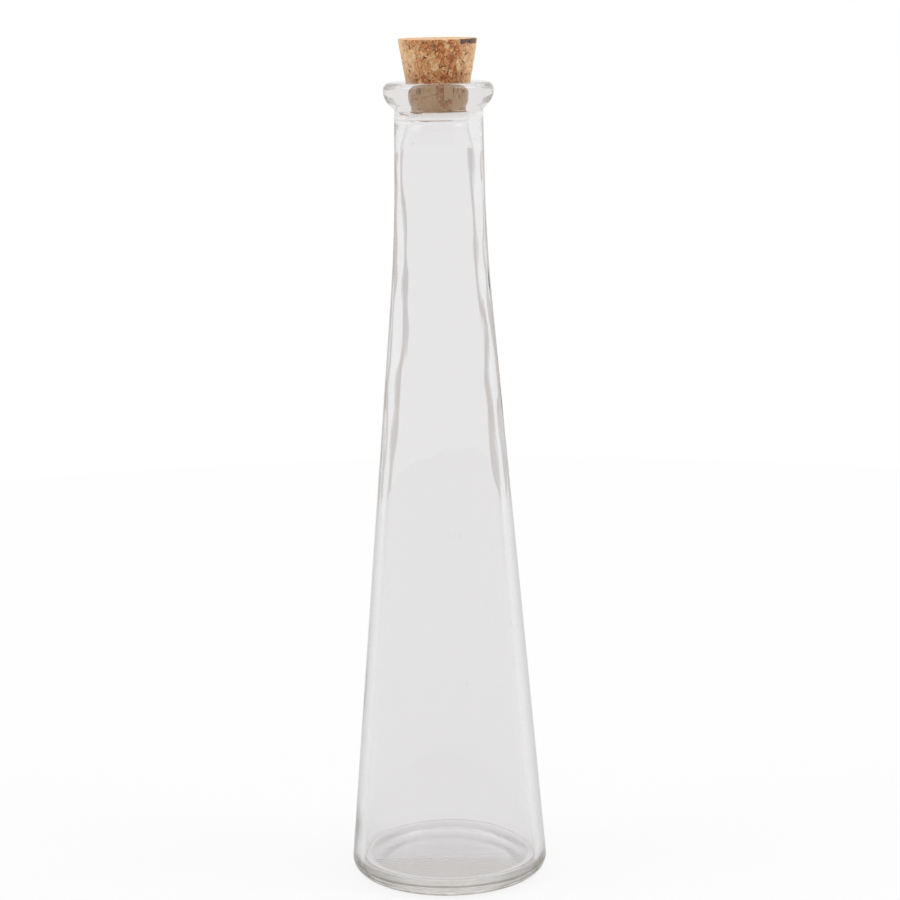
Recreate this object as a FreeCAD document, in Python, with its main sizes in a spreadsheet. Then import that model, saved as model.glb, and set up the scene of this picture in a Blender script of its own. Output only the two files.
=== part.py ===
import FreeCAD, Part
import math
import os
from types import SimpleNamespace

import Sketcher

# A tall conical bottle of clear glass with a tapered cork in its mouth, in millimetres. It stands on z = 0
# with its axis on z. The glass is one blown and moulded piece, and the cork is a second piece that slides up
# out of the mouth. Every size is set once, in the sheet that these lines fill.
DRIVING_SIZES = [
    ("bottle_tall", 250.0, "standing plane to the top of the lip"),
    ("foot_radius", 31.4, "where the straight side of the body would meet the standing plane"),
    ("heel_round", 4.4, "rounding between the body and the ring it stands on"),
    ("ring_width", 4.0, "flat ring that the bottle stands on"),
    ("hollow_rise", 2.4, "depth of the hollow under the base"),
    ("hollow_slope", 9.0, "width of the slope from the ring up into the hollow"),
    ("body_wall", 2.2, "glass of the body, measured across the axis"),
    ("floor_tall", 6.0, "standing plane to the inner floor"),
    ("corner_bevel", 2.0, "width and height of the slope between the inner floor and the wall"),
    ("neck_length", 48.3, "top of the lip down to where the sides of neck and body meet"),
    ("neck_spread", 0.55, "how much the neck's radius grows over its length"),
    ("neck_wall", 2.75, "glass of the neck, measured across the axis"),
    ("bend_round", 450.0, "outer radius of the soft bend between body and neck"),
    ("bore_radius", 9.25, "straight mouth that takes the cork"),
    ("bore_length", 11.0, "top of the lip down to the end of the straight mouth"),
    ("mouth_round", 2.0, "radius with which the mouth widens to the top"),
    ("mouth_deep", 1.5, "height over which the mouth widens"),
    ("throat_step", 1.65, "how much wider the neck's inside is than the mouth"),
    ("throat_tall", 7.5, "height of the taper between the mouth and the neck's inside"),
    ("lip_proud", 3.35, "how far the lip stands out of the neck"),
    ("lip_crown", 2.4, "rounding of the lip's top corner"),
    ("lip_land", 0.7, "upright stretch on the side of the lip"),
    ("lip_belly", 5.2, "radius of the lip's underside"),
    ("lip_slant", 45.0, "degrees from level at which the underside meets the neck"),
    ("seam_depth", 11.4, "top of the lip down to the mould's seam round the neck"),
    ("seam_tall", 0.9, "height of the seam's ridge"),
    ("seam_proud", 0.14, "how far the seam stands out of the neck"),
    ("cork_tall", 22.4, "whole height of the cork"),
    ("cork_insert", 9.1, "top of the lip down to the cork's lower face"),
    ("cork_flare", 2.95, "how far the cork's top radius is larger than the mouth"),
    ("cork_relief", 0.53, "how far the cork's lower radius is smaller than the mouth"),
    ("cork_gap", 0.05, "clearance between the squeezed cork and the mouth"),
    ("cork_edge", 0.35, "bevel of the cork's two edges"),
    ("cork_slant", 45.0, "degrees from level at which the cork swells over the mouth"),
]
LEAST_GLASS_REMOVED = 1.0

doc = FreeCAD.newDocument("corked_glass_bottle")


class Length:
    """A size in millimetres, together with the formula that gives it from the sheet."""

    def __init__(self, mm, formula):
        self.mm = mm
        self.formula = formula

    def __add__(self, other):
        return Length(self.mm + other.mm, f"({self.formula} + {other.formula})")

    def __sub__(self, other):
        return Length(self.mm - other.mm, f"({self.formula} - {other.formula})")

    def times(self, part, whole):
        """This size times the share that one size is of another."""
        return Length(self.mm * part.mm / whole.mm, f"{self.formula} * {part.formula} / {whole.formula}")


def write_sheet():
    """Fills the sheet with name, value and meaning in each row, and returns the sizes by name."""
    sheet = doc.addObject("Spreadsheet::Sheet", "sizes")
    for row, (name, number, meaning) in enumerate(DRIVING_SIZES, start=1):
        sheet.set(f"A{row}", name)
        sheet.set(f"B{row}", str(number))
        sheet.setAlias(f"B{row}", name)
        sheet.set(f"C{row}", meaning)
    doc.recompute()
    lengths = {name: Length(number, f"sizes.{name}") for name, number, meaning in DRIVING_SIZES}
    return SimpleNamespace(**lengths)


s = write_sheet()
ZERO = Length(0.0, "0")

# Sizes that several outlines share
neck_inner = s.bore_radius + s.throat_step
neck_radius = neck_inner + s.neck_wall
bend_radius = neck_radius + s.neck_spread
bend_up = s.bottle_tall - s.neck_length


def at(across, up):
    """A point of an outline: distance from the axis and height."""
    return FreeCAD.Vector(across, up, 0)


def rounded(before, corner, after, radius):
    """Ends and centre of the arc of this radius that rounds the corner between two straight runs."""
    back = (before - corner).normalize()
    on = (after - corner).normalize()
    half = back.getAngle(on) / 2
    reach = radius / math.tan(half)
    centre = corner + (back + on).normalize() * (radius / math.sin(half))
    return corner + back * reach, corner + on * reach, centre


class Outline:
    """A closed outline with its sizes, drawn piece by piece in a sketch on an upright plane on the axis."""

    def __init__(self, body, name, start):
        self.sketch = body.newObject("Sketcher::SketchObject", name)
        plane = next(f for f in body.Origin.OriginFeatures if f.Role == "XZ_Plane")
        self.sketch.AttachmentSupport = [(plane, "")]
        self.sketch.MapMode = "FlatFace"
        self.start = start
        self.here = start
        self.ends = {}
        self.last = None

    def line(self, end, smooth=False):
        """A straight run on from the last point."""
        piece = self.sketch.addGeometry(Part.LineSegment(self.here, end), False)
        return self.follow(piece, 1, 2, end, smooth)

    def arc(self, end, centre, smooth=False):
        """An arc on from the last point, the short way round the centre."""
        first = math.atan2(self.here.y - centre.y, self.here.x - centre.x)
        last = math.atan2(end.y - centre.y, end.x - centre.x)
        turn = (last - first + math.pi) % (2 * math.pi) - math.pi
        circle = Part.Circle(centre, FreeCAD.Vector(0, 0, 1), (end - centre).Length)
        if turn > 0:
            piece = self.sketch.addGeometry(Part.ArcOfCircle(circle, first, first + turn), False)
            return self.follow(piece, 1, 2, end, smooth)
        piece = self.sketch.addGeometry(Part.ArcOfCircle(circle, last, last - turn), False)
        return self.follow(piece, 2, 1, end, smooth)

    def follow(self, piece, first, last, end, smooth):
        """Joins a new piece to the one before it, in a smooth line or at a corner."""
        self.ends[piece] = ((piece, first), (piece, last))
        if self.last is not None:
            kind = "Tangent" if smooth else "Coincident"
            self.rule(kind, *self.end_of(self.last), *self.start_of(piece))
        self.last = piece
        self.here = end
        return piece

    def close(self, on_axis=True):
        """The run back to the start, which lies on the axis unless the outline is a ring's."""
        piece = self.line(self.start)
        self.rule("Coincident", *self.end_of(piece), *self.start_of(0))
        if on_axis:
            self.rule("PointOnObject", *self.start_of(piece), -2)
            self.rule("PointOnObject", *self.end_of(piece), -2)
        return piece

    def start_of(self, piece):
        return self.ends[piece][0]

    def end_of(self, piece):
        return self.ends[piece][1]

    def rule(self, kind, *parts):
        """A geometric constraint. -1 is the level axis, -2 the upright one and (-1, 1) the origin."""
        return self.sketch.addConstraint(Sketcher.Constraint(kind, *parts))

    def bind(self, index, name, formula):
        self.sketch.renameConstraint(index, name)
        self.sketch.setExpression(f"Constraints.{name}", formula)

    def across(self, name, point, length, base=(-1, 1)):
        self.bind(self.rule("DistanceX", *base, *point, length.mm), name, length.formula)

    def up(self, name, point, length, base=(-1, 1)):
        self.bind(self.rule("DistanceY", *base, *point, length.mm), name, length.formula)

    def radius(self, name, piece, length):
        self.bind(self.rule("Radius", piece, length.mm), name, length.formula)

    def angle(self, name, piece, degrees):
        self.bind(self.rule("Angle", piece, math.radians(degrees.mm)), name, degrees.formula)

    def guide(self, name, across, up, pieces):
        """A corner that straight pieces point at, placed from the sheet."""
        number = self.sketch.addGeometry(Part.Point(at(across.mm, up.mm)), True)
        self.across(name + "_across", (number, 1), across)
        if up is ZERO:
            self.rule("PointOnObject", number, 1, -1)
        else:
            self.up(name + "_up", (number, 1), up)
        for piece in pieces:
            self.rule("PointOnObject", number, 1, piece)

    def turned(self, body, kind, name):
        """Revolves the outline about the axis, as added or removed material."""
        feature = body.newObject(kind, name)
        feature.Profile = self.sketch
        feature.ReferenceAxis = (self.sketch, ["V_Axis"])
        feature.Angle = 360.0
        self.sketch.Visibility = False
        doc.recompute()


def outer_form(body):
    """The outside of the glass: base with its hollow and ring, heel, side, soft bend, neck and lip."""
    tall = s.bottle_tall.mm
    lip_radius = neck_radius + s.lip_proud
    foot = at(s.foot_radius.mm, 0)
    bend = at(bend_radius.mm, bend_up.mm)
    neck_top = at(neck_radius.mm, tall)
    ring_out, heel_end, heel_centre = rounded(at(0, 0), foot, bend, s.heel_round.mm)
    bend_low, bend_high, bend_centre = rounded(foot, bend, neck_top, s.bend_round.mm)
    ring_in = at(ring_out.x - s.ring_width.mm, 0)
    hollow_end = at(ring_in.x - s.hollow_slope.mm, s.hollow_rise.mm)

    crown_centre = at(lip_radius.mm - s.lip_crown.mm, tall - s.lip_crown.mm)
    belly_centre = at(lip_radius.mm - s.lip_belly.mm, crown_centre.y - s.lip_land.mm)
    slant = math.radians(s.lip_slant.mm)
    belly_end = belly_centre + at(math.sin(slant), -math.cos(slant)) * s.lip_belly.mm
    root_up = belly_end.y - (belly_end.x - neck_radius.mm) * math.tan(slant)

    form = Outline(body, "outer_outline", at(0, hollow_end.y))
    hollow = form.line(hollow_end)
    slope = form.line(ring_in)
    ring = form.line(ring_out)
    heel = form.arc(heel_end, heel_centre, smooth=True)
    side = form.line(bend_low, smooth=True)
    soft_bend = form.arc(bend_high, bend_centre, smooth=True)
    neck = form.line(at(neck_radius.mm, root_up), smooth=True)
    underside = form.line(belly_end)
    belly = form.arc(at(lip_radius.mm, belly_centre.y), belly_centre, smooth=True)
    land = form.line(at(lip_radius.mm, crown_centre.y), smooth=True)
    crown = form.arc(at(crown_centre.x, tall), crown_centre, smooth=True)
    top = form.line(at(0, tall), smooth=True)
    form.close()

    form.rule("Horizontal", hollow)
    form.up("hollow_rise", form.start_of(slope), s.hollow_rise)
    form.across("hollow_slope", form.end_of(slope), s.hollow_slope, base=form.start_of(slope))
    form.rule("PointOnObject", *form.start_of(ring), -1)
    form.rule("PointOnObject", *form.end_of(ring), -1)
    form.across("ring_width", form.end_of(ring), s.ring_width, base=form.start_of(ring))
    form.radius("heel_round", heel, s.heel_round)
    form.guide("foot", s.foot_radius, ZERO, [side])
    form.guide("bend", bend_radius, bend_up, [side, neck])
    form.guide("neck_top", neck_radius, s.bottle_tall, [neck])
    form.radius("bend_round", soft_bend, s.bend_round)
    form.angle("lip_slant", underside, s.lip_slant)
    form.radius("lip_belly", belly, s.lip_belly)
    form.rule("Vertical", land)
    form.across("lip_radius", form.end_of(land), lip_radius)
    form.up("lip_land", form.end_of(land), s.lip_land, base=form.start_of(land))
    form.radius("lip_crown", crown, s.lip_crown)
    form.rule("Horizontal", top)
    form.up("bottle_tall", form.end_of(top), s.bottle_tall)
    form.turned(body, "PartDesign::Revolution", "outer_form")


def neck_seam(body):
    """The fine ridge round the neck where the mould's halves met its ring. Its root lies inside the wall."""
    surface = neck_radius + s.neck_spread.times(s.seam_depth, s.neck_length)
    root = surface - s.seam_proud
    tip = surface + s.seam_proud
    middle = s.bottle_tall - s.seam_depth
    half = s.seam_tall.mm / 2
    ridge = Outline(body, "seam_outline", at(root.mm, middle.mm - half))
    lower = ridge.line(at(tip.mm, middle.mm))
    upper = ridge.line(at(root.mm, middle.mm + half))
    back = ridge.close(on_axis=False)
    ridge.rule("Equal", lower, upper)
    ridge.rule("Vertical", back)
    ridge.across("seam_root", ridge.start_of(back), root)
    ridge.across("seam_tip", ridge.end_of(lower), tip)
    ridge.up("seam_middle", ridge.end_of(lower), middle)
    ridge.up("seam_tall", ridge.start_of(back), s.seam_tall, base=ridge.end_of(back))
    ridge.turned(body, "PartDesign::Revolution", "neck_seam")


def cavity(body):
    """The inside: floor, conical room, neck, throat and the straight mouth for the cork."""
    tall = s.bottle_tall.mm
    foot_inner = s.foot_radius - s.body_wall
    body_bend = bend_radius - s.body_wall
    neck_bend = bend_radius - s.neck_wall
    foot = at(foot_inner.mm, 0)
    neck_top = at(neck_inner.mm, tall)

    # The sides of body and neck cross a little off the outer bend where their walls differ
    side_lean = (body_bend.mm - foot.x) / bend_up.mm
    neck_lean = (neck_top.x - neck_bend.mm) / s.neck_length.mm
    down = (body_bend.mm - neck_bend.mm) / (side_lean - neck_lean)
    bend = at(neck_bend.mm - neck_lean * down, bend_up.mm - down)
    inner_bend = s.bend_round + s.neck_wall
    bend_low, bend_high, bend_centre = rounded(foot, bend, neck_top, inner_bend.mm)

    bevel = s.corner_bevel.mm
    corner_up = s.floor_tall.mm + bevel
    corner_end = at(foot.x + side_lean * corner_up, corner_up)
    floor_end = corner_end - at(bevel, bevel)

    bore_end = s.bottle_tall - s.bore_length
    throat_end = bore_end - s.throat_tall
    throat = at(neck_top.x - neck_lean * (tall - throat_end.mm), throat_end.mm)
    bore = at(s.bore_radius.mm, bore_end.mm)
    mouth_centre = at(bore.x + s.mouth_round.mm, tall - s.mouth_deep.mm)
    mouth_across = mouth_centre.x - math.sqrt(s.mouth_round.mm ** 2 - s.mouth_deep.mm ** 2)
    above = tall + s.mouth_round.mm

    room = Outline(body, "cavity_outline", at(0, s.floor_tall.mm))
    floor = room.line(floor_end)
    corner = room.line(corner_end)
    side = room.line(bend_low)
    soft_bend = room.arc(bend_high, bend_centre, smooth=True)
    neck = room.line(throat, smooth=True)
    room.line(bore)
    straight = room.line(at(bore.x, mouth_centre.y))
    mouth = room.arc(at(mouth_across, tall), mouth_centre, smooth=True)
    rise = room.line(at(mouth_across, above))
    lid = room.line(at(0, above))
    room.close()

    room.up("floor_tall", room.start_of(floor), s.floor_tall)
    room.rule("Horizontal", floor)
    room.across("corner_across", room.end_of(corner), s.corner_bevel, base=room.start_of(corner))
    room.up("corner_up", room.end_of(corner), s.corner_bevel, base=room.start_of(corner))
    room.guide("foot", foot_inner, ZERO, [side])
    room.guide("body_bend", body_bend, bend_up, [side])
    room.radius("bend_round", soft_bend, inner_bend)
    room.guide("neck_bend", neck_bend, bend_up, [neck])
    room.guide("neck_top", neck_inner, s.bottle_tall, [neck])
    room.up("throat_end", room.end_of(neck), throat_end)
    room.rule("Vertical", straight)
    room.across("bore_radius", room.end_of(straight), s.bore_radius)
    room.up("bore_end", room.start_of(straight), bore_end)
    room.radius("mouth_round", mouth, s.mouth_round)
    room.up("mouth_low", room.start_of(mouth), s.bottle_tall - s.mouth_deep)
    room.up("mouth_top", room.end_of(mouth), s.bottle_tall)
    room.rule("Vertical", rise)
    room.up("above", room.end_of(rise), s.mouth_round, base=room.start_of(rise))
    room.rule("Horizontal", lid)
    room.turned(body, "PartDesign::Groove", "cavity")


def glass_bottle():
    """The bottle, blown and moulded in one piece of glass."""
    body = doc.addObject("PartDesign::Body", "glass_bottle")
    body.Label = "glass_bottle"
    outer_form(body)
    neck_seam(body)
    full = body.Shape.Volume
    cavity(body)
    if body.Shape.Volume > full - LEAST_GLASS_REMOVED:
        raise RuntimeError("the cavity removed no glass")
    return body


def cork_stopper():
    """The tapered cork, squeezed to a straight band in the mouth. Its own zero is its lower face."""
    body = doc.addObject("PartDesign::Body", "cork_stopper")
    body.Label = "cork_stopper"
    low = s.bore_radius - s.cork_relief
    high = s.bore_radius + s.cork_flare
    squeezed = s.bore_radius - s.cork_gap
    mouth_across = s.bore_radius + s.mouth_round
    mouth_up = s.cork_insert - s.mouth_deep
    hug = s.mouth_round + s.cork_gap
    lean = (high.mm - low.mm) / s.cork_tall.mm
    edge = s.cork_edge.mm

    # The cork leaves the rounded mouth along a slanted line that touches a circle just clear of the glass
    slant = math.radians(s.cork_slant.mm)
    touch = at(mouth_across.mm - hug.mm * math.sin(slant), mouth_up.mm + hug.mm * math.cos(slant))
    over = touch.y + (low.mm + lean * touch.y - touch.x) / (1 / math.tan(slant) - lean)
    under = touch.y - (touch.x - squeezed.mm) * math.tan(slant)

    form = Outline(body, "cork_outline", at(0, 0))
    lower_face = form.line(at(low.mm - edge, 0))
    foot = form.line(at(low.mm + lean * edge, edge))
    lower = form.line(at(squeezed.mm, (squeezed.mm - low.mm) / lean))
    band = form.line(at(squeezed.mm, under))
    flare = form.line(at(low.mm + lean * over, over))
    upper = form.line(at(high.mm - lean * edge, s.cork_tall.mm - edge))
    rim = form.line(at(high.mm - edge, s.cork_tall.mm))
    top = form.line(at(0, s.cork_tall.mm))
    form.close()

    form.rule("Horizontal", lower_face)
    form.rule("PointOnObject", *form.start_of(lower_face), -1)
    form.rule("Horizontal", top)
    form.up("cork_tall", form.end_of(top), s.cork_tall)
    form.guide("low", low, ZERO, [lower, upper])
    form.guide("high", high, s.cork_tall, [lower, upper])
    form.across("foot_in", form.start_of(foot), low - s.cork_edge)
    form.up("foot_up", form.end_of(foot), s.cork_edge)
    form.across("rim_in", form.end_of(rim), high - s.cork_edge)
    form.up("rim_down", form.start_of(rim), s.cork_tall - s.cork_edge)
    form.rule("Vertical", band)
    form.across("squeezed", form.end_of(band), squeezed)
    clear_of_mouth = Part.Circle(at(mouth_across.mm, mouth_up.mm), FreeCAD.Vector(0, 0, 1), hug.mm)
    mouth = form.sketch.addGeometry(clear_of_mouth, True)
    form.radius("hug", mouth, hug)
    form.across("mouth_across", (mouth, 3), mouth_across)
    form.up("mouth_up", (mouth, 3), mouth_up)
    form.rule("Tangent", flare, mouth)
    form.angle("cork_slant", flare, s.cork_slant)
    form.turned(body, "PartDesign::Revolution", "cork_form")
    body.setExpression(".Placement.Base.z", (s.bottle_tall - s.cork_insert).formula)
    doc.recompute()
    return body


def check(bodies):
    """Stops if any object failed or a piece is not one sound solid."""
    for item in doc.Objects:
        if {"Invalid", "Error"} & set(item.State):
            raise RuntimeError(f"{item.Name} failed: {item.State}")
    for body in bodies:
        shape = body.Shape
        if shape.isNull() or not shape.isValid() or len(shape.Solids) != 1:
            raise RuntimeError(f"{body.Label} is not one sound solid")


pieces = [glass_bottle(), cork_stopper()]
doc.recompute()
check(pieces)
os.makedirs("parts", exist_ok=True)
for piece in pieces:
    piece.Shape.exportStep(f"parts/{piece.Label}.step")
    box = piece.Shape.optimalBoundingBox(True, True)
    print(f"{piece.Label}: {piece.Shape.Volume:.0f} mm3, radius {box.XMax:.2f}, top {box.ZMax:.2f}")
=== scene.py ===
"""A corked glass bottle, dressed for the camera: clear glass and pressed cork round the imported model."""
import math

import bmesh
import bpy
from mathutils import Matrix, Vector, noise


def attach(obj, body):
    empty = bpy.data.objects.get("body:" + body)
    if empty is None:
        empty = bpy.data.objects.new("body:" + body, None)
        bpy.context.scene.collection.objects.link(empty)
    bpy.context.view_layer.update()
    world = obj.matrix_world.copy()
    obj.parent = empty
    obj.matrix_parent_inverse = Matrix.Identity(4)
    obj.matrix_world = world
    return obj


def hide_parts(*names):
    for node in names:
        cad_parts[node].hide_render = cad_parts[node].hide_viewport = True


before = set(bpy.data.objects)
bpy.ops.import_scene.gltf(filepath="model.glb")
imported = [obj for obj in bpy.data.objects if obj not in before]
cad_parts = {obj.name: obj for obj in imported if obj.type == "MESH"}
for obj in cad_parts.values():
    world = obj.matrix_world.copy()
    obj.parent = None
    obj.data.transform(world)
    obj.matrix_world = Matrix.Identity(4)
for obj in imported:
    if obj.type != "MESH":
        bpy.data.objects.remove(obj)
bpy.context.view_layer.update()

MM = 0.001                      # profiles, marks and relief are given in mm, finished meshes in metres
MERGE = 0.004                   # mm, points nearer than this are one
ARC_STEP = math.radians(5)      # the most that one segment of a rounding turns


# Modelling

def lathe(name, corners, steps, longest, shift):
    """Turns a wire of corners (radius, height, rounding) in mm about the axis into one smooth mesh object.

    No edge of the wire is longer than longest, and shift moves the turned points before they are scaled."""
    bm = bmesh.new()
    wire = [bm.verts.new((radius, 0, height)) for radius, height, _ in corners]
    for one, two in zip(wire, wire[1:]):
        bm.edges.new((one, two))
    bends = []
    for before, corner, after, (_, _, rounding) in zip(wire, wire[1:], wire[2:], corners[1:]):
        if rounding:
            angle = (before.co - corner.co).angle(after.co - corner.co)
            bends.append((corner, rounding, rounding / math.tan(angle / 2), math.pi - angle))
    for corner, rounding, reach, turn in bends:
        segments = max(3, math.ceil(turn / ARC_STEP), math.ceil(turn * rounding / longest))
        bmesh.ops.bevel(bm, geom=[corner], offset=reach, offset_type="OFFSET", segments=segments, profile=0.5,
                        affect="VERTICES", material=-1, clamp_overlap=False)
    bmesh.ops.remove_doubles(bm, verts=bm.verts, dist=MERGE)
    for edge in list(bm.edges):
        cuts = math.ceil(edge.calc_length() / longest) - 1
        if cuts > 0:
            bmesh.ops.subdivide_edges(bm, edges=[edge], cuts=cuts)
    bmesh.ops.spin(bm, geom=bm.verts[:] + bm.edges[:], axis=(0, 0, 1), cent=(0, 0, 0), angle=2 * math.pi,
                   steps=steps, use_merge=True)
    bmesh.ops.remove_doubles(bm, verts=bm.verts, dist=MERGE)
    bmesh.ops.recalc_face_normals(bm, faces=bm.faces)
    shift(bm)
    bmesh.ops.scale(bm, vec=(MM, MM, MM), verts=bm.verts)
    for face in bm.faces:
        face.smooth = True
    return new_object(name, bm)


def new_object(name, bm):
    mesh = bpy.data.meshes.new(name)
    bm.to_mesh(mesh)
    bm.free()
    piece = bpy.data.objects.new(name, mesh)
    bpy.context.collection.objects.link(piece)
    return piece


def between(value, low, high):
    """0 below low, 1 above high and a smooth rise between them; high may be the lower one."""
    share = min(max((value - low) / (high - low), 0), 1)
    return share * share * (3 - 2 * share)


# Materials

GENERATED, OBJECT = 0, 3                                # outputs of Texture Coordinate
COLOUR, FACTOR, ALPHA = 0, 2, 3                         # outputs of Attribute
FACING = 1                                              # output of Layer Weight
CAMERA_RAY, GLOSSY_RAY, TRANSMISSION_RAY = 0, 3, 6      # outputs of Light Path
WHITE = (1, 1, 1, 1)


class Wire:
    """A socket of a node tree. Arithmetic on it adds Math nodes."""

    def __init__(self, tree, socket=None):
        self.tree, self.socket = tree, socket

    def node(self, kind, settings=(), sockets=(), out=0):
        """Adds a node of a type, with its settings and then the values or links of its sockets."""
        made = self.tree.nodes.new("ShaderNode" + kind)
        for key, value in dict(settings).items():
            if key == "stops":
                ramp = made.color_ramp.elements
                while len(ramp) < len(value):
                    ramp.new(1)
                for stop, (place, colour) in zip(ramp, value):
                    stop.position, stop.color = place, colour
            else:
                setattr(made, key, value)
        for key, value in dict(sockets).items():
            if isinstance(value, Wire):
                self.tree.links.new(value.socket, made.inputs[key])
            else:
                made.inputs[key].default_value = value
        return Wire(self.tree, made.outputs[out]) if made.outputs else made

    def math(self, operation, *values):
        return self.node("Math", {"operation": operation}, enumerate(values))

    def __add__(self, other):
        return self.math("ADD", self, other)

    def __sub__(self, other):
        return self.math("SUBTRACT", self, other)

    def __rsub__(self, other):
        return self.math("SUBTRACT", other, self)

    def __mul__(self, other):
        return self.math("MULTIPLY", self, other)

    def __pow__(self, other):
        return self.math("POWER", self, other)

    __radd__, __rmul__ = __add__, __mul__

    def rise(self, low, high):
        """0 below low, 1 above high and a smooth rise between them; high may be the lower one."""
        return self.node("MapRange", {"interpolation_type": "SMOOTHSTEP"}, {0: self, 1: low, 2: high})

    def band(self, low, high, edge):
        """1 between low and high, with a smooth edge of a given width inside each end."""
        return self.rise(low, low + edge) * self.rise(high, high - edge)

    def mixed(self, one, two):
        """The colour one where this socket is 0, and two where it is 1."""
        return self.node("Mix", {"data_type": "RGBA"}, {0: self, 6: one, 7: two}, 2)

    def out(self, index):
        """Another output of the same node."""
        return Wire(self.tree, self.socket.node.outputs[index])


def new_tree(owner):
    owner.use_nodes = True
    owner.node_tree.nodes.clear()
    return Wire(owner.node_tree)


def object_place(tree):
    """Object coordinates as a vector, and as x, y and z in mm."""
    place = tree.node("TexCoord", out=OBJECT)
    return place, *(tree.node("SeparateXYZ", (), {0: place}, axis) * (1 / MM) for axis in range(3))


def rgb(red, green, blue):
    """A colour as a screen shows it, 0 to 255, as the linear colour that a socket takes."""
    shares = (red / 255, green / 255, blue / 255)
    return (*(share / 12.92 if share < 0.0404 else ((share + 0.055) / 1.055) ** 2.4 for share in shares), 1)


# Camera, at the photograph's viewing angle

PITCH, YAW, ROLL = math.radians(11.12), math.radians(0.147), math.radians(-0.834)
CAMERA_PLACE = (0, -0.772, 0.288)
PHOTO_WIDTH, FOCAL_LENGTH = 900, 2521           # in pixels of the photograph
SENSOR = 36
BOUNCES = 64                                    # light goes round many times in thick glass


def aim_camera():
    view = Vector((math.sin(YAW) * math.cos(PITCH), math.cos(YAW) * math.cos(PITCH), -math.sin(PITCH)))
    level = Vector((math.cos(YAW), -math.sin(YAW), 0))
    upright = level.cross(view)
    right = level * math.cos(ROLL) + upright * math.sin(ROLL)
    up = upright * math.cos(ROLL) - level * math.sin(ROLL)
    lens = bpy.data.cameras.new("camera")
    lens.sensor_width, lens.lens = SENSOR, SENSOR * FOCAL_LENGTH / PHOTO_WIDTH
    lens.clip_start, lens.clip_end = 0.01, 50
    camera = bpy.data.objects.new("camera", lens)
    turned = Matrix((right, up, -view)).transposed().to_4x4()
    camera.matrix_world = Matrix.Translation(CAMERA_PLACE) @ turned
    bpy.context.collection.objects.link(camera)
    bpy.context.scene.camera = camera
    bpy.context.scene.view_settings.view_transform = "Standard"
    for kind in ("max_bounces", "glossy_bounces", "transmission_bounces"):
        setattr(bpy.context.scene.cycles, kind, BOUNCES)


aim_camera()

# Studio: a white sweep under and behind the bottle, a softbox at each side and dimmer parts between them

FLOOR_RADIUS = 0.67
FLOOR_GAP = 0.00005             # the floor lies this far under the glass, so that the two never share a face
ROOM_LIGHT = 0.9
DIM = 0.3                       # what the strips behind the bottle and the room before it take from that
SOFTBOX_LIGHT = 3.2


def light_world():
    """In degrees, side runs from straight behind the bottle to either hand, and height above the horizon."""
    world = bpy.data.worlds.new("studio")
    bpy.context.scene.world = world
    sky = new_tree(world)
    direction = sky.node("TexCoord", out=GENERATED)
    across, along, high = (sky.node("SeparateXYZ", (), {0: direction}, axis) for axis in range(3))
    side = across.math("ARCTAN2", across.math("ABSOLUTE", across), along) * math.degrees(1)
    height = high.math("ARCSINE", high) * math.degrees(1)
    left_hand = across.rise(0.1, -0.1)
    softbox = side.rise(78, 84) * side.rise(126, 116) * height.rise(34, 40) * height.rise(74, 64)
    softbox *= 1 - left_hand * 0.4
    strip = side.rise(15, 18) * side.rise(33, 29) * height.rise(-2.8, -3.5)
    room = side.rise(118, 135) * height.rise(2, 14) * height.rise(70, 50)
    light = ROOM_LIGHT - (strip + room) * DIM + softbox * SOFTBOX_LIGHT
    seen = sky.node("LightPath", out=CAMERA_RAY)
    unseen = 1 - seen
    colour = (strip * unseen).mixed(WHITE, (1, 0.94, 0.9, 1))
    sky.node("OutputWorld", (), {0: sky.node("Background", (), {0: colour, 1: light * unseen + seen})})


def lay_floor():
    """White paper that keeps the bottle's shadow, and that the camera, glass and gloss see nearly white."""
    bm = bmesh.new()
    bmesh.ops.create_circle(bm, cap_ends=True, radius=FLOOR_RADIUS, segments=96)
    bmesh.ops.translate(bm, verts=bm.verts, vec=(0, 0, -FLOOR_GAP))
    floor = new_object("floor", bm)
    paper = bpy.data.materials.new("white_paper")
    sheet = new_tree(paper)
    camera_ray = sheet.node("LightPath", out=CAMERA_RAY)
    through_glass = sheet.math("MAXIMUM", camera_ray.out(GLOSSY_RAY), camera_ray.out(TRANSMISSION_RAY))
    direct = sheet.math("MAXIMUM", camera_ray * 0.85, through_glass * 0.75)
    matt = sheet.node("BsdfDiffuse", (), {0: (0.83, 0.83, 0.83, 1)})
    bright = sheet.node("Emission", (), {0: WHITE, 1: 0.85 + camera_ray * 0.15})
    sheet.node("OutputMaterial", (), {0: sheet.node("MixShader", (), {0: direct, 1: matt, 2: bright})})
    floor.data.materials.append(paper)


light_world()
lay_floor()

# Glass

OUTSIDE = [                     # radius, height and rounding in mm, from the middle of the base to the mouth
    (0, 1.4, 0),                # hollow under the base
    (11.9, 1.4, 180),
    (23.8, 0, 18),              # ring that the bottle stands on
    (31.4, 0, 4.4),             # heel
    (14.15, 201.7, 450),        # foot of the neck
    (13.60, 238.8, 0.3),        # ridge of the mould seam under the lip
    (13.74, 239.4, 0.3),
    (13.56, 240.0, 0.3),
    (13.5, 241.8, 0.6),         # lip
    (16.85, 245.15, 5.2),
    (16.85, 250.15, 2.3),
    (9.3, 250.15, 0.9),         # edge of the mouth
]
INSIDE = [                      # from below the cork to the middle of the floor
    (9.3, 241.5, 3),
    (11.65, 232.0, 14),
    (11.65, 197.0, 150),
    (27.8, 5.25, 0.6),          # corner of wall and floor, with a fine crease beside it
    (26.95, 5.25, 0.08),
    (26.7, 5.55, 0.08),
    (0, 5.55, 0),
]
HEEL_RADIUS = 31.4
NECK_FOOT_RADIUS, NECK_FOOT = 14.15, 201.7
FLOOR_EDGE = 5.3                # what lies lower counts as the outside
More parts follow.
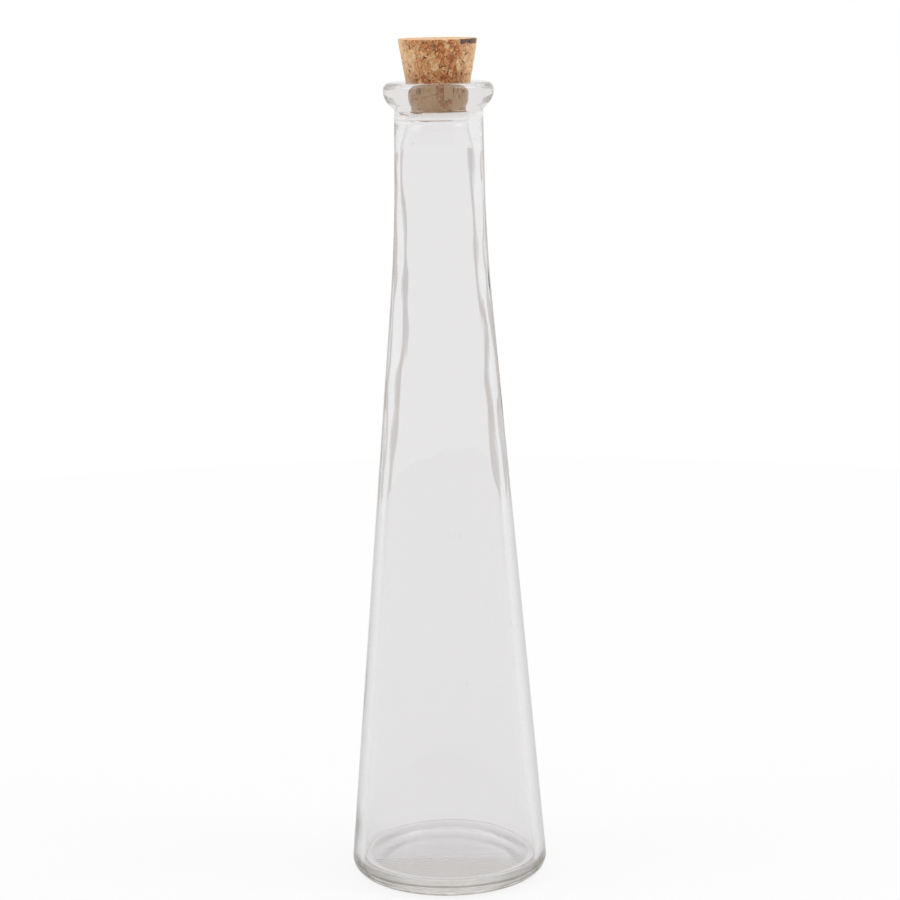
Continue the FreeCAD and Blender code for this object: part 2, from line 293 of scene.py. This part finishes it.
HOLLOW_RADIUS, HOLLOW_SHIFT = 24.5, 4           # the hollow's top lies that far towards the camera
GLASS_STEPS, GLASS_EDGE = 224, 3.0

WALL_SPECKS = [                     # x, z and radius of the small dark specks painted on the front wall
    (-7.5, 232.3, 0.4),
    (-8.2, 231.6, 0.3),
    (-0.2, 239.5, 0.25),
    (5.8, 67.4, 0.35),
    (22.9, 51.0, 0.3),
    (1.2, 113.4, 0.3),
    (2.8, 113.6, 0.25),
    (4.4, 113.3, 0.3),
]
GRIT = [                        # x, y and radius of the specks of dirt on the inner floor
    (-3.0, 7.0, 0.45),
    (-7.2, 12.7, 0.4),
]


def blown(bm):
    """The inner wall of blown glass is never true: it sits off the middle and waves by tenths of a mm."""
    outside = bm.verts.layers.float.new("outside")
    for vert in bm.verts:
        x, y, z = vert.co
        radius = math.hypot(x, y)
        outer = max(HEEL_RADIUS - (HEEL_RADIUS - NECK_FOOT_RADIUS) * z / NECK_FOOT, 14)
        inside = z > FLOOR_EDGE and radius < outer - 1
        vert[outside] = 0 if inside else 1
        if z < 3 and radius < HOLLOW_RADIUS:
            vert.co.y -= HOLLOW_SHIFT * (1 - (radius / HOLLOW_RADIUS) ** 2)
        if not inside or radius < 1:
            continue
        free = between(z, 6.5, 22) * between(z, 243, 236)
        spot = Vector((x * 0.05, y * 0.05, z * 0.02))
        wave = (0.12 + 0.26 * between(z, 90, 180)) * noise.noise(spot * 1.6 + Vector((3, 1, 7)))
        wave += 0.14 * between(z, 100, 180) * noise.noise(spot * 5)
        ragged = between(z, 8, 5.8) * between(radius, 24, 26) * between(y, 5, 18) * noise.noise(spot * 9)
        push = free * wave + 0.3 * ragged
        lean = free * (0.4 * between(z, 150, 20) + 0.45 * between(z, 200, 228))
        vert.co.x += x / radius * push - lean
        vert.co.y += y / radius * push


def clear_glass():
    clear = bpy.data.materials.new("clear_glass")
    pane = new_tree(clear)
    place, x, y, z = object_place(pane)
    outside = pane.node("Attribute", {"attribute_name": "outside"}, out=FACTOR)
    facing = pane.node("LayerWeight", (), {"Blend": 0.5}, FACING)
    stipple = pane.node("TexNoise", (), {"Vector": place, "Scale": 900, "Detail": 2})
    patches = pane.node("TexNoise", (), {"Vector": place, "Scale": 330, "Detail": 3, "Roughness": 0.7})

    def spots(one, two, places):
        """Small round marks at places (a, b, radius) along the coordinates one and two."""
        return sum(((one - a) ** 2 + (two - b) ** 2).rise(size ** 2, 0) for a, b, size in places)

    # where each mark and each band of painted shade lies, as a share from 0 to 1
    under = z.rise(3.4, 3.0) * (x * x + (y - 4.5) ** 2).rise(26.2 ** 2, 25.2 ** 2)
    # painted shade: the near half of the underside is painted darker, warmer and mottled
    near_half_shade = under * y.rise(-3.5, -5.5) * (0.65 + stipple * 0.7)
    # painted shade: dark brown patches on the heel where its glass turns away from the camera
    heel_shade = facing.rise(0.3, 0.65) * outside * z.rise(8.5, 5.5) * (0.35 + patches.rise(0.38, 0.62) * 0.65)
    # painted shade: a dark line round the heel at the height of its mould seam; the same band also gets a
    # bump
    seam = z.band(3.7, 4.6, 0.3) * outside
    wall_specks = spots(x, z, WALL_SPECKS) * y.rise(-1, -4)
    grit = spots(x, y, GRIT) * (1 - outside) * z.rise(7, 6)
    # painted shade: the glass darkens towards grazing angles, drawing the dark outlines and the streaks along
    # the inner wall, which fade lower down and are weaker on the lip
    wall = outside + (1 - outside) * z.rise(70, 160) * 0.8
    rim_shade = facing.rise(0.5, 1.0) * wall * (1 - z.rise(237.8, 239.2) * 0.75)
    lip = z.rise(239.5, 241.5)

    tint = rim_shade.mixed((0.944, 0.937, 0.941, 1), (0.2, 0.19, 0.19, 1))
    tint = lip.mixed(tint, (0.87, 0.855, 0.845, 1))
    tint = near_half_shade.mixed(tint, (0.72, 0.68, 0.63, 1))
    tint = heel_shade.mixed(tint, (0.26, 0.2, 0.12, 1))
    tint = (seam * 0.8 + wall_specks * 0.3).mixed(tint, (0.25, 0.2, 0.15, 1))
    tint = grit.mixed(tint, (0.2, 0.13, 0.08, 1))
    relief = pane.node("Bump", (), {
        "Strength": 0.3, "Distance": 0.4 * MM,
        "Height": under * stipple * y.rise(2, -6) + seam * (0.3 + patches)})
    surface = pane.node("BsdfPrincipled", (), {
        "Base Color": tint, "Roughness": under * 0.24, "IOR": 1.5, "Transmission Weight": 1.0,
        "Normal": relief})
    depth = pane.node("VolumeAbsorption", (), {"Color": (0.984, 0.982, 0.978, 1), "Density": 50})
    pane.node("OutputMaterial", (), {0: surface, 1: depth})
    return clear


glass = lathe("bottle_glass", OUTSIDE + INSIDE, GLASS_STEPS, GLASS_EDGE, blown)
glass.data.materials.append(clear_glass())
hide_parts("glass_bottle")
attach(glass, "bottle")

# Cork

CORK = [                        # radius, height and rounding in mm, from the bottom's middle to the top's
    (0, 241.9, 0),
    (8.7, 241.9, 0.9),
    (9.18, 245.0, 4),           # plug, squeezed straight by the mouth
    (9.18, 249.0, 1.0),
    (9.9, 250.2, 2.0),
    (12.15, 263.25, 0.4),       # head
    (0, 263.25, 0),
]
MOUTH = 250.5                   # below it the cork is squeezed, and its relief is half as deep
BARK_FROM, BARK_TO = 0.62, 1.32                 # the piece of bark at the top edge, in radians from the front
BARK_LOW, BARK_INNER = 261.7, 10.5
CORK_STEPS, CORK_EDGE = 360, 0.24
BARK_TONE = -1                  # marks bark in the tone of the chips, which is 0 to 1 elsewhere
CHIP_SEED = 1                   # noise_vector takes its offsets from this, or else from the clock


def granules(bm):
    """Presses the chips, gaps and pits into the cork, and keeps what each point shows for the paint."""
    noise.seed_set(CHIP_SEED)
    bm.normal_update()
    grain = bm.verts.layers.float_color.new("grain")
    for vert in bm.verts:
        spot = vert.co.copy()
        warp = noise.noise_vector(spot * 0.55) * 0.55 + noise.noise_vector(spot * 1.7) * 0.16
        coarse = noise.noise(spot * 0.17 + Vector((0, 9, 4))) < 0.05
        size = 0.30 if coarse else 0.5
        near, centres = noise.voronoi(spot * size + warp * 0.5)
        border = (near[1] - near[0]) / size
        tone = 0.5 + 0.5 * noise.cell(centres[0] * 37.7)
        turn = 0.5 + 0.5 * noise.cell(centres[0] * 91.3 + Vector((5, 5, 5)))
        weak = noise.noise((centres[0] + centres[1]) * 3.1) + 0.7 * noise.noise(spot * 0.9)
        gap = between(border, 0.40, 0.05) * between(weak, 0.05, 0.5)
        pits, _ = noise.voronoi(spot * 0.75 + warp * 0.6)
        pit = between(pits[0], 0.30, 0.14) * between(noise.noise(spot * 0.4 + Vector((7, 0, 0))), -0.1, 0.25)
        depth = 0.26 * gap + 0.4 * pit + 0.07 * tone + 0.05 * (0.5 + noise.noise(spot * 2.1))
        if spot.z < MOUTH:
            depth *= 0.5
        angle = math.atan2(spot.x, -spot.y) + 0.1 * noise.noise(spot * 1.1)
        edge = spot.z + 0.5 * noise.noise(spot * 0.8)
        if BARK_FROM < angle < BARK_TO and edge > BARK_LOW and math.hypot(spot.x, spot.y) > BARK_INNER:
            tone, depth = BARK_TONE, depth + 0.12
        vert.co -= vert.normal * max(depth, 0)
        vert[grain] = (tone, gap, turn, pit)


def pressed_cork():
    cork_finish = bpy.data.materials.new("pressed_cork")
    chips = new_tree(cork_finish)
    place, _, _, z = object_place(chips)
    grain = chips.node("Attribute", {"attribute_name": "grain"}, out=COLOUR)
    tone, gap, turn = (chips.node("SeparateColor", (), {0: grain}, channel) for channel in range(3))
    pit = grain.out(ALPHA)
    turned = chips.node("VectorRotate", {"rotation_type": "AXIS_ANGLE"}, {
        "Vector": place, "Axis": (0.6, 0.5, 0.62), "Angle": turn * 25})
    stretched = chips.node("Mapping", (), {"Vector": turned, "Scale": (420, 420, 2300)})
    lines = chips.node("TexNoise", (), {
        "Vector": stretched, "Scale": 1, "Detail": 2, "Roughness": 0.6, "Distortion": 0.5})
    specks = chips.node("TexNoise", (), {"Vector": place, "Scale": 2600, "Detail": 3, "Roughness": 0.65})
    clouds = chips.node("TexNoise", (), {"Vector": place, "Scale": 350, "Detail": 3, "Roughness": 0.6})
    facing = chips.node("LayerWeight", (), {"Blend": 0.5}, FACING)
    # painted light: the plug inside the mouth is painted lighter, oranger and with more contrast; painted
    # shadow: the top of the plug, under the lip, is darker
    plug = z.rise(250.4, 248.8)
    plug_top_shadow = z.rise(245.2, 247.5)
    cracks = lines.rise(0.60, 0.70) * clouds.rise(0.45, 0.6)
    bark = tone.math("LESS_THAN", tone, -0.4)

    shade = tone * (0.66 + plug * 1.1) + (lines - 0.5) * 2.7 + (clouds - 0.5) * 1.1 + (specks - 0.5) * 2.2
    shade += 0.24 + plug * (0.22 - plug_top_shadow * 0.35)
    paint = chips.node("ValToRGB", {"stops": [
        (0.0, rgb(155, 82, 43)),
        (0.25, rgb(187, 111, 62)),
        (0.5, rgb(208, 139, 86)),
        (0.75, rgb(222, 163, 108)),
        (1.0, rgb(238, 200, 150)),
    ]}, {0: shade})
    # painted shade in the gaps between chips and in the pits, which are also pressed in
    paint = (gap.rise(0.15, 0.8) * 0.7).mixed(paint, rgb(104, 58, 34))
    paint = (pit.rise(0.1, 0.8) * 0.85).mixed(paint, rgb(88, 48, 32))
    paint = (cracks * 0.6).mixed(paint, rgb(120, 68, 42))
    paint = (plug * 0.15).mixed(paint, rgb(255, 168, 96))
    # painted sheen: the cork pales towards its outline, except on the plug
    paint = (facing.rise(0.05, 0.8) * (1 - plug) * 0.95).mixed(paint, rgb(244, 200, 150))
    paint = bark.mixed(paint, specks.rise(0.4, 0.65).mixed(rgb(74, 48, 44), rgb(146, 108, 90)))
    relief = chips.node("Bump", (), {
        "Strength": 0.9, "Distance": 0.4 * MM, "Height": lines * 0.7 + specks * 0.5})
    surface = chips.node("BsdfPrincipled", (), {
        "Base Color": paint, "Roughness": 0.8, "Specular IOR Level": 0.3, "Sheen Weight": 0.25,
        "Sheen Roughness": 0.5, "Normal": relief})
    chips.node("OutputMaterial", (), {0: surface})
    return cork_finish


coarser = 1
cork = lathe("cork", CORK, CORK_STEPS // coarser, CORK_EDGE * coarser, granules)
cork.data.materials.append(pressed_cork())
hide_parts("cork_stopper")
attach(cork, "cork")
